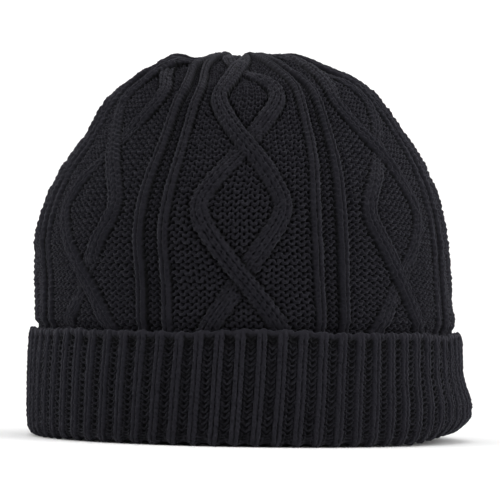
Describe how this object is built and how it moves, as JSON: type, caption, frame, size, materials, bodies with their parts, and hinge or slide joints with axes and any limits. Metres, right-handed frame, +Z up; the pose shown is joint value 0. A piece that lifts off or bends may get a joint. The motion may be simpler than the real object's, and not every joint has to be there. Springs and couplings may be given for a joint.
{
  "type": "knit beanie",
  "caption": "Cable-knit beanie with diamond cables, a gathered crown and a ribbed cuff that is turned up on its fold.",
  "frame": {"origin": "middle of the plane that the cuff's fold stands on, under the middle of the head opening", "axes": "+Z up towards the gather on top, front towards -Y, +Y towards the back of the head, +X to the right of a viewer who looks at the front"},
  "size_m": [0.174, 0.2018, 0.1515],
  "materials": {
    "crown_knit": "matt acrylic and wool yarn, reverse stocking stitch with raised cables",
    "rib_knit": "matt acrylic and wool yarn, two-by-one rib",
    "sewing_yarn": "matt doubled yarn",
    "label_satin": "woven satin ribbon, blank"
  },
  "bodies": {
    "crown": {"crown_shell": "crown_knit", "ribbed_band": "rib_knit", "back_seam_yarn": "sewing_yarn", "gather_yarn": "sewing_yarn", "gather_knot": "sewing_yarn", "label_stitches": "sewing_yarn"},
    "cuff": {"turn_up_cuff": "rib_knit", "cuff_seam_yarn": "sewing_yarn"},
    "label": {"care_label": "label_satin"}
  },
  "joints": [
    {"name": "cuff_unroll", "type": "slide", "parent": "cuff", "child": "crown", "axis": [0, 0, 1], "range_m": [0, 0.03]},
    {"name": "label_swing", "type": "hinge", "parent": "crown", "child": "label", "pos_m": [-0.02898, 0.08134, 0.064], "axis": [-0.9014, -0.4331, 0], "range_deg": [0, 80]}
  ]
}
